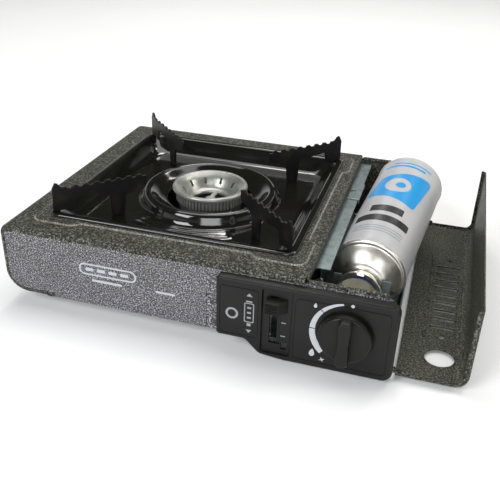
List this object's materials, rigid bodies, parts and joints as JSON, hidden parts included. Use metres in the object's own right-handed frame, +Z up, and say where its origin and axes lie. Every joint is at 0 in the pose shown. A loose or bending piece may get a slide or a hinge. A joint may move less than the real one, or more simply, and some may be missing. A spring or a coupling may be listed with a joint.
{
  "type": "portable butane camping stove",
  "caption": "Portable butane camping stove with a round burner, black drip pan and toothed supports, control panel, lying gas can and folded-out bay lid.",
  "frame": {"origin": "middle of the box around the stove with its lid open, at the table", "axes": "+Z up, controls towards -Y, gas can bay and open lid towards +X"},
  "size_m": [0.397, 0.301, 0.1045],
  "materials": {
    "hammertone": "dark hammered enamel with fine pale speckle, satin",
    "galvanised": "zinc-plated sheet, pale and slightly cool",
    "enamel": "gloss black vitreous enamel",
    "support_black": "black enamelled steel plate",
    "cast_aluminium": "cast, lightly blasted",
    "cast_iron": "cast, dark",
    "panel_plastic": "fine-grained moulding",
    "black_plastic": "satin moulding",
    "rubber": "matt",
    "nylon": "natural nylon",
    "steel": "bright plated",
    "zinc_cast": "zinc die casting, yellow passivated",
    "brass": "machined",
    "ceramic": "unglazed white",
    "lead_white": "silicone sleeve",
    "can_print": "printed tinplate, gloss varnish",
    "tinplate": "drawn tinplate with pale gold lacquer",
    "valve_blue": "moulded acetal"
  },
  "bodies": {
    "body": {"top_cover": "hammertone", "front_panel": "hammertone", "rear_panel": "hammertone", "base_tray": "galvanised", "bay_partition": "galvanised", "bay_bracket": "galvanised", "burner_bracket": "galvanised", "mixing_tube": "galvanised", "burner_head": "cast_aluminium", "burner_port_ring": "cast_aluminium", "burner_cup": "cast_iron", "control_panel": "panel_plastic", "piezo_igniter": "black_plastic", "foot_left_front": "rubber", "foot_left_rear": "rubber", "foot_middle_front": "rubber", "foot_middle_rear": "rubber", "foot_right_front": "rubber", "foot_right_rear": "rubber", "slider_rail": "nylon", "hinge_pin_front": "steel", "hinge_pin_rear": "steel", "electrode_rod": "steel", "screw_bracket_left": "steel", "screw_bracket_right": "steel", "regulator_body": "zinc_cast", "diaphragm_cover": "zinc_cast", "gas_nozzle": "brass", "electrode_insulator": "ceramic", "ignition_lead": "lead_white"},
    "lid": {"lid": "hammertone"},
    "pan": {"drip_pan": "enamel", "pan_leg_rear_right": "support_black", "pan_leg_rear_left": "support_black", "pan_leg_front_left": "support_black", "pan_leg_front_right": "support_black"},
    "lever": {"lock_lever": "black_plastic", "lever_pin": "steel"},
    "slider": {"cam_slider": "galvanised"},
    "dial": {"knob": "black_plastic", "valve_shaft": "steel"},
    "can": {"can_body": "can_print", "can_base": "tinplate", "can_dome": "tinplate", "can_collar": "tinplate", "can_valve": "valve_blue"}
  },
  "joints": [
    {"name": "lid_hinge", "type": "hinge", "parent": "body", "child": "lid", "pos_m": [0.1335, 0.01195, 0.01], "axis": [0, -1, 0], "range_deg": [0, 90]},
    {"name": "lock_lever_slide", "type": "slide", "parent": "body", "child": "lever", "axis": [0, 0, -1], "range_m": [0, 0.033]},
    {"name": "cam_slider_slide", "type": "slide", "parent": "body", "child": "slider", "axis": [0, -1, 0], "range_m": [0, 0.004]},
    {"name": "can_seating", "type": "hinge", "parent": "slider", "child": "can", "pos_m": [0.1035, -0.06155, 0.0378], "axis": [-0.7713, 0.0472, 0.6348], "range_deg": [0, 11.02]},
    {"name": "knob_turn", "type": "hinge", "parent": "body", "child": "dial", "pos_m": [0.1035, -0.13535, 0.0378], "axis": [0, -1, 0], "range_deg": [0, 130]},
    {"name": "pan_lift", "type": "slide", "parent": "body", "child": "pan", "axis": [0, 0, 1], "range_m": [0, 0.12]}
  ],
  "couplings": [
    {"joint": "cam_slider_slide", "follows": "lock_lever_slide", "ratio": 0.12121},
    {"joint": "can_seating", "follows": "lid_hinge", "ratio": 0.1223}
  ]
}
